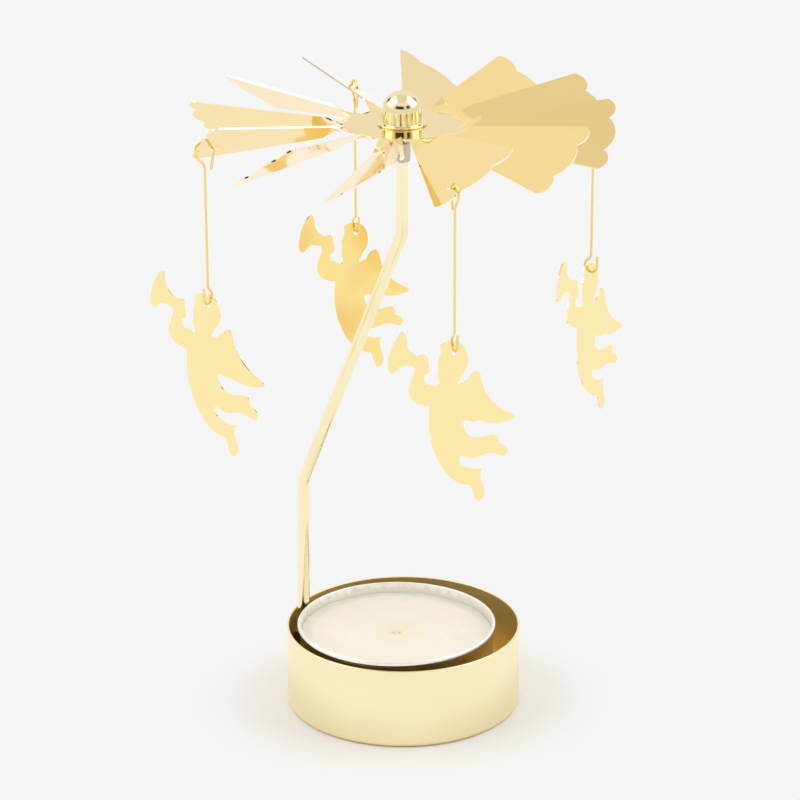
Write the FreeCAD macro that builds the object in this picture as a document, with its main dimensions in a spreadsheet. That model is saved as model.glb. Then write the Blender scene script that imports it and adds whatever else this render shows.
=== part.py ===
import FreeCAD, Part
import math
import os

import Sketcher

Vector = FreeCAD.Vector
Rotation = FreeCAD.Rotation
Placement = FreeCAD.Placement

# An angel chime carousel. A tealight stands in a drawn metal cup, and its warm air turns a wheel of
# twisted vanes that is balanced on a needle at the top of a bent rod. Four sheet-metal angels hang
# from the wheel on thin wires. Lengths are in millimetres and angles in degrees. The origin is the
# middle of the cup's underside, +Z is up, and the rod stands on the -X side.

SIZES = (
    ("cup_play", 1.95, "half the room left beside the tealight and the rod"),
    ("cup_height", 16.0, "underside to rim"),
    ("cup_wall", 0.4, "sheet of the cup"),
    ("cup_base_round", 0.9, "outside round between wall and floor"),
    ("cup_rim_break", 0.12, "broken edges of the rim"),

    ("stem_radius", 1.15, "bent rod"),
    ("stem_inset", 0.6, "how far inward the lower bend stands from the foot"),
    ("stem_lower_bend", 43.5, "height of the lower bend"),
    ("stem_upper_run", 16.9, "from the upper bend to the rod's end, on the wheel's axis"),
    ("stem_head_gap", 4.2, "rod's end to the wheel's middle plane"),
    ("stem_bend_radius", 9.0, "middle line of both bends"),
    ("braze_gap", 0.05, "rod to cup wall, filled by the braze"),
    ("braze_width", 0.8, "how far the braze spreads round the rod"),
    ("braze_height", 11.0, "length of the braze up the wall"),

    ("ferrule_wall", 0.45, "collar round the rod's end"),
    ("ferrule_length", 3.8, "collar, end to end"),
    ("ferrule_cover", 1.0, "collar above the rod's end"),
    ("ferrule_round", 0.35, "lower edge of the collar"),
    ("ferrule_chamfer", 0.3, "upper edge of the collar"),
    ("needle_radius", 0.5, "pivot needle"),
    ("needle_depth", 4.0, "needle pressed into the rod"),
    ("needle_point_length", 3.0, "ground point"),
    ("needle_tip_radius", 0.08, "flat on the point"),
    ("needle_gap", 0.05, "point to the dome's inside"),

    ("wheel_height", 116.8, "middle plane of the wheel's sheet"),
    ("wheel_angle", 39.5, "turn of the first hung vane from +X"),
    ("sheet_thickness", 0.3, "sheet of the wheel"),
    ("blade_count", 12, "vanes"),
    ("blade_twist_angle", 32.6, "leading edge up"),
    ("blade_root_radius", 10.5, "flat middle, out to the slits"),
    ("blade_root_width", 4.6, "neck where it leaves the flat middle"),
    ("blade_neck_length", 4.0, "twisted neck"),
    ("blade_neck_width", 6.2, "vane where the twist ends"),
    ("blade_length", 22.9, "straight edges, from the neck to the corners"),
    ("blade_corner_width", 17.2, "vane at its corners"),
    ("blade_lobe_rise", 0.95, "top of a corner lobe beyond the notches"),
    ("blade_lobe_spacing", 12.8, "between the tops of the corner lobes"),
    ("blade_notch_length", 0.7, "notches beyond the corners"),
    ("blade_notch_spacing", 8.0, "between the two notches"),
    ("blade_tip_rise", 1.6, "top of the middle lobe beyond the notches"),

    ("hub_radius", 3.72, "outside of the dome"),
    ("hub_wall", 0.35, "sheet of the dome"),
    ("hub_skirt_height", 2.6, "straight wall under the dome"),
    ("hub_brim_width", 0.93, "brim on the wheel"),
    ("hub_brim_thickness", 0.4, "brim, folded double"),
    ("hub_lip_width", 0.48, "lip rolled out under the wheel"),
    ("hub_lip_thickness", 0.3, "rolled lip"),
    ("hub_fit", 0.04, "dome wall to the hole in the wheel"),

    ("hanger_count", 4, "hangers, each on its own vane"),
    ("hanger_hole_inset", 2.85, "hole's middle inside the notch"),
    ("hanger_hole_play", 0.45, "hole's edge to the wire, all round"),
    ("wire_radius", 0.25, "hanger wire"),
    ("ring_notch_gap", 0.68, "from the notch out to the ring's middle line"),
    ("ring_drop", 0.45, "ring's middle under the vane"),
    ("ring_offset", 0.15, "wire outward of the hole's middle"),
    ("ring_neck_radius", 2.2, "bend from the ring to the straight wire"),
    ("ring_end_angle", 190.0, "where the ring ends, from outward over the top"),
    ("ring_tail_length", 3.1, "straight end of the wire under the vane"),
    ("hanger_drop", 29.15, "ring's middle to the wire in the angel's hole"),
    ("hook_radius", 1.35, "middle line of the lower hook"),
    ("hook_neck_radius", 1.5, "bend from the straight wire to the hook"),
    ("hook_end_angle", 180.0, "where the hook's bend ends, from its own side under the bottom"),
    ("hook_tail_length", 1.95, "straight end of the wire beside the head"),

    ("angel_height", 34.3, "foot to the top of the trumpet"),
    ("angel_thickness", 0.3, "sheet of the angels"),
    ("angel_hole_play", 0.3, "hole in the head round the wire"),
    ("angel_hook_gap", 0.05, "hook wire to the top of the hole"),
    ("angel_right_angle", 76.0, "way the figure's back points, from +X"),
    ("angel_back_angle", 48.0, "the same, back angel"),
    ("angel_left_angle", -9.0, "the same, left angel"),
    ("angel_front_angle", 42.0, "the same, front angel"),

    ("tealight_radius", 18.95, "case under its rim"),
    ("tealight_foot_inset", 0.55, "how much narrower the case is at its floor"),
    ("tealight_height", 17.0, "case, floor to rim"),
    ("tealight_wall", 0.25, "foil of the case"),
    ("tealight_base_round", 0.8, "round between wall and floor"),
    ("tealight_bead_width", 0.35, "bead that stands out under the rim"),
    ("tealight_seat_gap", 0.1, "case to the cup's floor"),
    ("tealight_side_gap", 0.12, "bead to the cup's wall"),
    ("tealight_stem_gap", 0.1, "bead to the rod, all the way up"),
    ("tealight_lift", 20.0, "travel that frees the tealight from the cup"),
    ("wax_depth", 2.2, "rim to wax"),
    ("wax_climb", 0.35, "wax drawn up at the wall"),
    ("wax_climb_width", 1.1, "width of the drawn-up edge"),
    ("wax_dimple_radius", 2.4, "hollow round the wick"),
    ("wax_dimple_depth", 0.3, "the same, depth"),
    ("cast_gap", 0.03, "wax to the pieces cast into it"),
    ("wick_radius", 0.75, "braided wick"),
    ("wick_stub", 0.5, "trimmed wick above the wax"),
    ("sustainer_radius", 6.0, "tin foot of the wick"),
    ("sustainer_thickness", 0.3, "the same, sheet"),
    ("sustainer_collar_wall", 0.4, "crimped collar"),
    ("sustainer_collar_height", 4.0, "foot's underside to the collar's top"),
)

doc = FreeCAD.newDocument("angel_chime_carousel")
sheet = doc.addObject("Spreadsheet::Sheet", "Sizes")
for row, (alias, number, note) in enumerate(SIZES, start=1):
    sheet.set(f"A{row}", note)
    sheet.set(f"B{row}", str(number))
    sheet.setAlias(f"B{row}", alias)
doc.recompute()

SUB_PARTS = []
ORIGIN = Vector(0, 0, 0)
UP = Vector(0, 0, 1)
FULL_TURN = 360.0


def value(expression):
    """The number that an expression on the sheet's sizes stands for."""
    return float(sheet.evalExpression(expression))


def size(alias):
    """One size from the sheet."""
    return float(getattr(sheet, alias))


def listed(sub_part, label):
    """Give a finished sub-part its label and list it for writing."""
    sub_part.Label = label
    SUB_PARTS.append(sub_part)
    return sub_part


def origin_feature(body, role):
    """A body's own origin plane or axis."""
    return next(f for f in body.Origin.OriginFeatures if f.Role == role)


def sketch_on(body, plane, name):
    """A new sketch on one of the body's origin planes."""
    sketch = body.newObject("Sketcher::SketchObject", name)
    sketch.AttachmentSupport = (origin_feature(body, plane), [""])
    sketch.MapMode = "FlatFace"
    return sketch


def bind(sketch, kind, places, expression):
    """A measured constraint whose size is bound to an expression."""
    number = sketch.addConstraint(Sketcher.Constraint(kind, *places, value(expression)))
    sketch.setExpression(f"Constraints[{number}]", expression)


def fix_point(sketch, geometry, end, across, along):
    """Hold one end of a line or arc at a place given by two expressions."""
    for kind, axis, expression in (("DistanceX", -2, across), ("DistanceY", -1, along)):
        if expression == "0":
            sketch.addConstraint(Sketcher.Constraint("PointOnObject", geometry, end, axis))
        else:
            bind(sketch, kind, (geometry, end), expression)


def arc_between(start, end, radius, turn):
    """The arc of a radius from start to end, turning left (1) or right (-1)."""
    chord = end - start
    rise = math.sqrt(max(radius**2 - (chord.Length / 2) ** 2, 0))
    left = Vector(-chord.y, chord.x, 0).normalize()
    centre = (start + end) * 0.5 + left * rise * turn
    first, last = (start, end) if turn > 0 else (end, start)
    angles = [math.atan2((p - centre).y, (p - centre).x) for p in (first, last)]
    return Part.ArcOfCircle(Part.Circle(centre, UP, radius), angles[0], angles[1])


def draw_outline(sketch, corners):
    """A closed outline. A corner is two expressions, and an arc to it adds its radius and turn."""
    edges = []
    for here, there in zip(corners[-1:] + corners[:-1], corners):
        start = Vector(value(here[0]), value(here[1]), 0)
        end = Vector(value(there[0]), value(there[1]), 0)
        if len(there) == 2:
            edge = sketch.addGeometry(Part.LineSegment(start, end))
            edges.append((edge, 1, 2))
        else:
            radius, turn = there[2:]
            edge = sketch.addGeometry(arc_between(start, end, value(radius), turn))
            edges.append((edge, 1, 2) if turn > 0 else (edge, 2, 1))
            bind(sketch, "Radius", (edge,), radius)
    for (before, _, before_end), (after, after_start, _) in zip(edges[-1:] + edges[:-1], edges):
        sketch.addConstraint(Sketcher.Constraint("Coincident", before, before_end, after, after_start))
    for (edge, _, end), corner in zip(edges, corners):
        fix_point(sketch, edge, end, *corner[:2])


def turned(label, corners, place=ORIGIN):
    """A sub-part turned about its own vertical axis from an outline of (radius, height) corners."""
    body = doc.addObject("PartDesign::Body", label)
    sketch = sketch_on(body, "XZ_Plane", f"{label}_outline")
    draw_outline(sketch, corners)
    revolution = body.newObject("PartDesign::Revolution", f"{label}_turned")
    revolution.Profile = sketch
    revolution.ReferenceAxis = (sketch, ["V_Axis"])
    revolution.Angle = FULL_TURN
    body.Placement = Placement(place, Rotation())
    return listed(body, label)


def circle_sketch(body, plane, name, radius):
    """A sketch of one circle about the plane's origin."""
    sketch = sketch_on(body, plane, name)
    circle = sketch.addGeometry(Part.Circle(ORIGIN, UP, value(radius)))
    sketch.addConstraint(Sketcher.Constraint("Coincident", circle, 3, -1, 1))
    bind(sketch, "Radius", (circle,), radius)
    return sketch


def pad(body, sketch, name, length, both_ways=False):
    """A pad whose length is bound to an expression."""
    feature = body.newObject("PartDesign::Pad", name)
    feature.Profile = sketch
    feature.setExpression("Length", length)
    feature.Midplane = both_ways
    return feature


def cut_through(body, sketch, name, length):
    """A pocket cut to both sides of its sketch."""
    feature = body.newObject("PartDesign::Pocket", name)
    feature.Profile = sketch
    feature.setExpression("Length", length)
    feature.Midplane = True
    return feature


def round_pattern(body, features, name, count):
    """Features repeated evenly round the body's vertical axis."""
    pattern = body.newObject("PartDesign::PolarPattern", name)
    pattern.Originals = features
    pattern.Axis = (origin_feature(body, "Z_Axis"), [""])
    pattern.Angle = FULL_TURN
    pattern.setExpression("Occurrences", count)
    body.Tip = pattern
    return pattern


def edges_at(shape, height, radius, tolerance):
    """Names of the circular edges of a shape at a height and radius."""
    return [
        f"Edge{number}"
        for number, edge in enumerate(shape.Edges, start=1)
        if isinstance(edge.Curve, Part.Circle)
        and abs(edge.Curve.Center.z - height) < tolerance
        and abs(edge.Curve.Radius - radius) < tolerance
    ]


# Sizes and places that follow from others, as expressions on the sheet
bead_radius = "(Sizes.tealight_radius + Sizes.tealight_bead_width)"
cup_inner = f"({bead_radius} + Sizes.stem_radius + Sizes.cup_play)"
cup_outer = f"({cup_inner} + Sizes.cup_wall)"
stem_top = "(Sizes.wheel_height - Sizes.stem_head_gap)"
wheel_top = "(Sizes.wheel_height + Sizes.sheet_thickness / 2)"
wheel_under = "(Sizes.wheel_height - Sizes.sheet_thickness / 2)"
twist_radius = "(Sizes.blade_root_radius + Sizes.blade_neck_length)"
corner_radius = f"({twist_radius} + Sizes.blade_length)"
notch_radius = f"({corner_radius} + Sizes.blade_notch_length)"
hanger_hole_radius = "(Sizes.wire_radius + Sizes.hanger_hole_play)"
head_hole_radius = "(Sizes.wire_radius + Sizes.angel_hole_play)"

# The cup: a disc of sheet drawn into a low round cup with an even wall
cup = doc.addObject("PartDesign::Body", "cup")
cup_blank = pad(
    cup, circle_sketch(cup, "XY_Plane", "cup_circle", cup_outer), "cup_blank", "Sizes.cup_height"
)
doc.recompute()
near = size("cup_rim_break") / 2
cup_corner = cup.newObject("PartDesign::Fillet", "cup_corner")
cup_corner.Base = (cup_blank, edges_at(cup_blank.Shape, 0, value(cup_outer), near))
cup_corner.setExpression("Radius", "Sizes.cup_base_round")
doc.recompute()
top_face = max(
    range(len(cup_corner.Shape.Faces)), key=lambda i: cup_corner.Shape.Faces[i].CenterOfMass.z
)
cup_hollow = cup.newObject("PartDesign::Thickness", "cup_hollow")
cup_hollow.Base = (cup_corner, [f"Face{top_face + 1}"])
cup_hollow.setExpression("Value", "Sizes.cup_wall")
cup_hollow.Reversed = True
doc.recompute()
cup_rim = cup.newObject("PartDesign::Chamfer", "cup_rim")
cup_rim.Base = (
    cup_hollow,
    edges_at(cup_hollow.Shape, size("cup_height"), value(cup_outer), near)
    + edges_at(cup_hollow.Shape, size("cup_height"), value(cup_inner), near),
)
cup_rim.setExpression("Size", "Sizes.cup_rim_break")
listed(cup, "cup")

# The stem: one rod, bent twice, that stands on the cup's floor against the wall and ends on the axis
cup_inside = value(cup_inner)
rod_to_wall = value("Sizes.stem_radius + Sizes.braze_gap")
stem_foot = Vector(rod_to_wall - cup_inside, 0, value("Sizes.cup_wall + Sizes.braze_gap"))
stem_route = (
    stem_foot,
    Vector(stem_foot.x + size("stem_inset"), 0, size("stem_lower_bend")),
    Vector(0, 0, value(f"{stem_top} - Sizes.stem_upper_run")),
    Vector(0, 0, value(stem_top)),
)


def bent_edges(points, radius):
    """Straight runs through the points, joined by tangent arcs of one radius."""
    edges = []
    start = points[0]
    for before, corner, after in zip(points, points[1:], points[2:]):
        back = (before - corner).normalize()
        ahead = (after - corner).normalize()
        half_turn = (math.pi - back.getAngle(ahead)) / 2
        trim = radius * math.tan(half_turn)
        inward = (back + ahead).normalize()
        middle = corner + inward * (radius / math.cos(half_turn) - radius)
        edges.append(Part.LineSegment(start, corner + back * trim))
        edges.append(Part.Arc(corner + back * trim, middle, corner + ahead * trim))
        start = corner + ahead * trim
    edges.append(Part.LineSegment(start, points[-1]))
    return edges


stem = doc.addObject("PartDesign::Body", "stem")
stem_path = sketch_on(stem, "XZ_Plane", "stem_path")
for edge in bent_edges([Vector(p.x, p.z, 0) for p in stem_route], size("stem_bend_radius")):
    stem_path.addGeometry(edge)
stem_section = circle_sketch(stem, "XY_Plane", "stem_section", "Sizes.stem_radius")
stem_section.setExpression("AttachmentOffset.Base.z", stem_top)
stem_rod = stem.newObject("PartDesign::AdditivePipe", "stem_rod")
stem_rod.Profile = stem_section
stem_rod.Spine = (stem_path, [])
doc.recompute()
foot_edge = min(
    range(len(stem_rod.Shape.Edges)), key=lambda i: stem_rod.Shape.Edges[i].CenterOfMass.z
)
foot_chamfer = stem.newObject("PartDesign::Chamfer", "foot_chamfer")
foot_chamfer.Base = (stem_rod, [f"Edge{foot_edge + 1}"])
foot_chamfer.setExpression("Size", "Sizes.cup_base_round - Sizes.cup_wall - Sizes.braze_gap")
doc.recompute()
needle_socket = circle_sketch(stem, "XY_Plane", "needle_socket", "Sizes.needle_radius")
needle_socket.setExpression("AttachmentOffset.Base.z", stem_top)
socket_cut = stem.newObject("PartDesign::Pocket", "socket_cut")
socket_cut.Profile = needle_socket
socket_cut.setExpression("Length", "Sizes.needle_depth")
listed(stem, "stem")
doc.recompute()

# The braze: run in between the rod and the cup's wall, up from the floor
braze_height = size("braze_height")
braze_spread = Part.makeCylinder(value("Sizes.stem_radius + Sizes.braze_width"), braze_height, stem_foot)
braze_outer = Part.makeCylinder(cup_inside, braze_height, UP * stem_foot.z)
braze_inner = Part.makeCylinder(-stem_foot.x, braze_height, UP * stem_foot.z)
braze = doc.addObject("Part::Feature", "stem_braze")
braze.Shape = braze_spread.common(braze_outer).cut(braze_inner).cut(cup.Shape).cut(stem.Shape)
listed(braze, "stem_braze")

# The ferrule: a collar crimped round the rod's end, which holds the needle upright
ferrule_head = f"({stem_top} + Sizes.ferrule_cover)"
ferrule_foot = f"({ferrule_head} - Sizes.ferrule_length)"
ferrule_radius = "(Sizes.stem_radius + Sizes.ferrule_wall)"
turned(
    "stem_ferrule",
    [
        ("Sizes.stem_radius", ferrule_foot),
        (f"{ferrule_radius} - Sizes.ferrule_round", ferrule_foot),
        (ferrule_radius, f"{ferrule_foot} + Sizes.ferrule_round", "Sizes.ferrule_round", 1),
        (ferrule_radius, f"{ferrule_head} - Sizes.ferrule_chamfer"),
        (f"{ferrule_radius} - Sizes.ferrule_chamfer", ferrule_head),
        ("Sizes.needle_radius", ferrule_head),
        ("Sizes.needle_radius", stem_top),
        ("Sizes.stem_radius", stem_top),
    ],
)

# The needle: pressed into the rod, with its ground point in the middle of the dome
dome_middle = f"({wheel_top} + Sizes.hub_skirt_height)"
dome_inside = "(Sizes.hub_radius - Sizes.hub_wall)"
needle_tip = f"({dome_middle} + {dome_inside} - Sizes.needle_gap)"
turned(
    "pivot_needle",
    [
        ("0", f"{stem_top} - Sizes.needle_depth"),
        ("Sizes.needle_radius", f"{stem_top} - Sizes.needle_depth"),
        ("Sizes.needle_radius", f"{needle_tip} - Sizes.needle_point_length"),
        ("Sizes.needle_tip_radius", needle_tip),
        ("0", needle_tip),
    ],
)

# The hub cap: a dome with a folded brim on the wheel, its wall rolled out under the wheel's hole
brim_radius = "(Sizes.hub_radius + Sizes.hub_brim_width)"
brim_break = "(Sizes.hub_brim_thickness / 4)"
brim_top = f"({wheel_top} + Sizes.hub_brim_thickness)"
lip_radius = "(Sizes.hub_radius + Sizes.hub_lip_width)"
turned(
    "hub_cap",
    [
        (dome_inside, f"{wheel_under} - Sizes.hub_lip_thickness"),
        (lip_radius, f"{wheel_under} - Sizes.hub_lip_thickness"),
        (lip_radius, wheel_under),
        ("Sizes.hub_radius", wheel_under),
        ("Sizes.hub_radius", wheel_top),
        (f"{brim_radius} - {brim_break}", wheel_top),
        (brim_radius, f"{wheel_top} + {brim_break}"),
        (brim_radius, f"{brim_top} - {brim_break}"),
        (f"{brim_radius} - {brim_break}", brim_top),
        ("Sizes.hub_radius", brim_top),
        ("Sizes.hub_radius", dome_middle),
        ("0", f"{dome_middle} + Sizes.hub_radius", "Sizes.hub_radius", 1),
        ("0", f"{dome_middle} + {dome_inside}"),
        (dome_inside, dome_middle, dome_inside, -1),
    ],
)

# The vane wheel: one sheet with a flat middle, slit into vanes whose necks are twisted
wheel = doc.addObject("PartDesign::Body", "vane_wheel")
blade_count = int(size("blade_count"))
middle_sketch = circle_sketch(
    wheel, "XY_Plane", "wheel_middle", "Sizes.blade_root_radius / cos(180 / Sizes.blade_count)"
)
middle_sketch.toggleConstruction(0)
middle_sketch.setExpression("AttachmentOffset.Base.z", "Sizes.wheel_height")
facet_reach = Vector(value("Sizes.blade_root_radius / cos(180 / Sizes.blade_count)"), 0, 0)
facet_corners = [
    Rotation(UP, FULL_TURN * (n + 0.5) / blade_count).multVec(facet_reach) for n in range(blade_count)
]
facets = [
    middle_sketch.addGeometry(Part.LineSegment(here, there))
    for here, there in zip(facet_corners[-1:] + facet_corners[:-1], facet_corners)
]
for before, after in zip(facets[-1:] + facets[:-1], facets):
    middle_sketch.addConstraint(Sketcher.Constraint("Coincident", before, 2, after, 1))
    middle_sketch.addConstraint(Sketcher.Constraint("PointOnObject", after, 1, 0))
for facet in facets[1:]:
    middle_sketch.addConstraint(Sketcher.Constraint("Equal", facets[0], facet))
middle_sketch.addConstraint(Sketcher.Constraint("Vertical", facets[0]))
pad(wheel, middle_sketch, "wheel_middle_pad", "Sizes.sheet_thickness", both_ways=True)


def neck_section(name, width, radius, twisted):
    """The section of a vane's neck, square to the vane's length at a radius."""
    sketch = sketch_on(wheel, "YZ_Plane", name)
    sketch.AttachmentOffset = Placement(ORIGIN, Rotation(UP, 0))
    sketch.setExpression("AttachmentOffset.Base.y", "Sizes.wheel_height")
    sketch.setExpression("AttachmentOffset.Base.z", radius)
    if twisted:
        sketch.AttachmentOffset = Placement(ORIGIN, Rotation(UP, size("blade_twist_angle")))
        sketch.setExpression("AttachmentOffset.Rotation.Angle", "Sizes.blade_twist_angle")
    half_width = value(width) / 2
    half_sheet = size("sheet_thickness") / 2
    corners = [
        Vector(half_width * x, half_sheet * y, 0) for x, y in ((-1, -1), (1, -1), (1, 1), (-1, 1))
    ]
    for here, there in zip(corners, corners[1:] + corners[:1]):
        sketch.addGeometry(Part.LineSegment(here, there))
    for side, (following, way) in enumerate(zip((1, 2, 3, 0), ("Horizontal", "Vertical") * 2)):
        sketch.addConstraint(Sketcher.Constraint("Coincident", side, 2, following, 1))
        sketch.addConstraint(Sketcher.Constraint(way, side))
    sketch.addConstraint(Sketcher.Constraint("Symmetric", 0, 1, 2, 1, -1, 1))
    bind(sketch, "DistanceX", (0, 1, 0, 2), width)
    bind(sketch, "DistanceY", (1, 1, 1, 2), "Sizes.sheet_thickness")
    return sketch


neck = wheel.newObject("PartDesign::AdditiveLoft", "vane_neck")
neck.Profile = neck_section("neck_root", "Sizes.blade_root_width", "Sizes.blade_root_radius", False)
neck.Sections = [neck_section("neck_end", "Sizes.blade_neck_width", twist_radius, True)]
neck.Ruled = True


def twisted_plane_sketch(name):
    """A sketch in the middle plane of the vane that points along +X."""
    sketch = sketch_on(wheel, "XY_Plane", name)
    sketch.AttachmentOffset = Placement(ORIGIN, Rotation(Vector(1, 0, 0), size("blade_twist_angle")))
    sketch.setExpression("AttachmentOffset.Base.z", "Sizes.wheel_height")
    sketch.setExpression("AttachmentOffset.Rotation.Angle", "Sizes.blade_twist_angle")
    return sketch


blade_sketch = twisted_plane_sketch("vane_outline")
neck_x, neck_y = value(twist_radius), size("blade_neck_width") / 2
corner_x, corner_y = value(corner_radius), size("blade_corner_width") / 2
notch_x, notch_y = value(notch_radius), size("blade_notch_spacing") / 2
lobe_x, lobe_y = notch_x + size("blade_lobe_rise"), size("blade_lobe_spacing") / 2
tip_x = notch_x + size("blade_tip_rise")
blade_sketch.addGeometry(Part.LineSegment(Vector(neck_x, neck_y, 0), Vector(neck_x, -neck_y, 0)))
for side in (-1, 1):
    corner = Vector(corner_x, corner_y * side, 0)
    lobe = Vector(lobe_x, lobe_y * side, 0)
    notch = Vector(notch_x, notch_y * side, 0)
    blade_sketch.addGeometry(Part.LineSegment(Vector(neck_x, neck_y * side, 0), corner))
    blade_sketch.addGeometry(Part.Arc(corner, lobe, notch))
blade_sketch.addGeometry(
    Part.Arc(Vector(notch_x, -notch_y, 0), Vector(tip_x, 0, 0), Vector(notch_x, notch_y, 0))
)
blade = pad(wheel, blade_sketch, "vane", "Sizes.sheet_thickness", both_ways=True)
round_pattern(wheel, [neck, blade], "vanes", "Sizes.blade_count")

hub_hole = circle_sketch(wheel, "XY_Plane", "hub_hole", "Sizes.hub_radius + Sizes.hub_fit")
hub_hole.setExpression("AttachmentOffset.Base.z", "Sizes.wheel_height")
cut_through(wheel, hub_hole, "hub_hole_cut", "Sizes.sheet_thickness * 2")

hanger_hole = twisted_plane_sketch("hanger_hole")
hole_x = notch_x - size("hanger_hole_inset")
hole_centre = Vector(hole_x, -notch_y, 0)
hole_circle = hanger_hole.addGeometry(Part.Circle(hole_centre, UP, value(hanger_hole_radius)))
bind(hanger_hole, "Radius", (hole_circle,), hanger_hole_radius)
hole_cut = cut_through(wheel, hanger_hole, "hanger_hole_cut", "Sizes.sheet_thickness * 2")
round_pattern(wheel, [hole_cut], "hanger_holes", "Sizes.hanger_count")
wheel.Placement = Placement(ORIGIN, Rotation(UP, size("wheel_angle")))
listed(wheel, "vane_wheel")


# The hangers: an open ring through the hole and the notch of a vane, a straight wire, and an open
# hook through the angel's head. Each hangs at the place where its ring rests on the vane.
def hook_edges(middle, sideways, upward, radius, neck_radius, end_angle, tail_length):
    """A hook from the straight wire to its open end: neck, ring past the bottom, straight tail."""

    def place(angle, reach):
        """A point round the ring's middle, with the angle counted from sideways to upward."""
        return middle + (sideways * math.cos(angle) + upward * math.sin(angle)) * reach

    neck_turn = math.acos(neck_radius / (radius + neck_radius))
    neck_middle = place(neck_turn, radius + neck_radius)
    end = -math.radians(end_angle)
    tail_way = sideways * math.sin(end) - upward * math.cos(end)
    neck_start = neck_middle - sideways * neck_radius
    neck_between = neck_middle + (place(math.pi + neck_turn / 2, neck_radius) - middle)
    return (
        Part.Arc(neck_start, neck_between, place(neck_turn, radius)),
        Part.Arc(place(neck_turn, radius), place((neck_turn + end) / 2, radius), place(end, radius)),
        Part.LineSegment(place(end, radius), place(end, radius) + tail_way * tail_length),
    )


twist = math.radians(size("blade_twist_angle"))
ring_reach = value("(Sizes.hanger_hole_inset - Sizes.ring_offset + Sizes.ring_notch_gap) / 2")
ring_radius = math.hypot(ring_reach, size("ring_drop"))
ring_middle = Vector(
    hole_x + size("ring_offset") + ring_reach,
    -notch_y * math.cos(twist),
    size("wheel_height") - notch_y * math.sin(twist) - size("ring_drop"),
)
hook_bottom = ring_middle - UP * size("hanger_drop")
hook_middle = hook_bottom + UP * size("hook_radius")
head_hole = hook_bottom - UP * value("Sizes.angel_hole_play - Sizes.angel_hook_gap")


def hanger_shape(hook_turn):
    """A hanger on the vane along +X, with its lower hook turned from the ring's plane."""
    outward = Vector(1, 0, 0)
    ring_sizes = ("ring_neck_radius", "ring_end_angle", "ring_tail_length")
    ring = hook_edges(ring_middle, outward, -UP, ring_radius, *map(size, ring_sizes))
    hook_sizes = ("hook_radius", "hook_neck_radius", "hook_end_angle", "hook_tail_length")
    hook = hook_edges(hook_middle, Rotation(UP, hook_turn).multVec(outward), UP, *map(size, hook_sizes))
    straight = Part.LineSegment(ring[0].StartPoint, hook[0].StartPoint)
    path = Part.Wire([edge.toShape() for edge in (*reversed(ring), straight, *hook)])
    tail = ring[-1]
    section = Part.Circle(tail.EndPoint, tail.StartPoint - tail.EndPoint, size("wire_radius"))
    return path.makePipeShell([Part.Wire([section.toShape()])], True, False)


# The angels: flat figures cut from sheet, alike in all four places. The outline is given as shares
# of the figure's height, across and up from the hole in the head, in runs that meet at corners.
ANGEL_OUTLINE_SHARES = (
    # back of the head and crown
    ((0.016, -0.18), (0.042, -0.129), (0.071, -0.081), (0.074, -0.029), (0.045, 0.037), (0, 0.061),
     (-0.048, 0.063), (-0.08, 0.045)),
    # profile
    ((-0.08, 0.045), (-0.084, -0.01), (-0.096, -0.043), (-0.093, -0.082), (-0.096, -0.119),
     (-0.087, -0.15), (-0.103, -0.179)),
    # shoulder to wrist
    ((-0.103, -0.179), (-0.138, -0.156), (-0.17, -0.146)),
    # wrist
    ((-0.17, -0.146), (-0.17, -0.102)),
    # hand
    ((-0.17, -0.102), (-0.145, -0.088), (-0.148, -0.035), (-0.158, 0.004), (-0.177, 0.013),
     (-0.199, 0.008)),
    # trumpet, upper side
    ((-0.199, 0.008), (-0.235, 0.028), (-0.267, 0.076), (-0.273, 0.127), (-0.289, 0.15),
     (-0.312, 0.133), (-0.347, 0.08), (-0.366, 0.022), (-0.37, -0.045), (-0.357, -0.067)),
    # trumpet, lower side
    ((-0.357, -0.067), (-0.334, -0.062), (-0.309, -0.037), (-0.27, -0.034), (-0.228, -0.046)),
    # forearm and elbow
    ((-0.228, -0.046), (-0.235, -0.109), (-0.257, -0.182), (-0.244, -0.222), (-0.206, -0.254),
     (-0.141, -0.275)),
    # chest, belly and shin
    ((-0.141, -0.275), (-0.145, -0.362), (-0.132, -0.481), (-0.1, -0.573), (-0.051, -0.66),
     (0.013, -0.722), (0.087, -0.751)),
    # lower foot
    ((0.087, -0.751), (0.106, -0.789), (0.119, -0.832), (0.141, -0.85), (0.164, -0.836),
     (0.161, -0.754), (0.164, -0.667)),
    # calf of the lower leg
    ((0.164, -0.667), (0.132, -0.668), (0.074, -0.65), (0.039, -0.63), (0.026, -0.602),
     (0.035, -0.577)),
    # upper leg, under side
    ((0.035, -0.577), (0.071, -0.594), (0.106, -0.602), (0.161, -0.591), (0.219, -0.591),
     (0.264, -0.609), (0.289, -0.613), (0.305, -0.593), (0.289, -0.561), (0.254, -0.541)),
    # upper foot
    ((0.254, -0.541), (0.248, -0.502), (0.222, -0.483)),
    # upper leg, upper side
    ((0.222, -0.483), (0.18, -0.489), (0.132, -0.49), (0.084, -0.471), (0.058, -0.435),
     (0.048, -0.389)),
    # wing, under side
    ((0.048, -0.389), (0.071, -0.384), (0.103, -0.398), (0.141, -0.398), (0.19, -0.414),
     (0.267, -0.423), (0.328, -0.415)),
    # wing tip
    ((0.328, -0.415), (0.347, -0.404), (0.328, -0.383)),
    # wing, upper side
    ((0.328, -0.383), (0.251, -0.333), (0.19, -0.263), (0.158, -0.188), (0.145, -0.139),
     (0.122, -0.118), (0.1, -0.132), (0.061, -0.167), (0.016, -0.18)),
)


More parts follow.
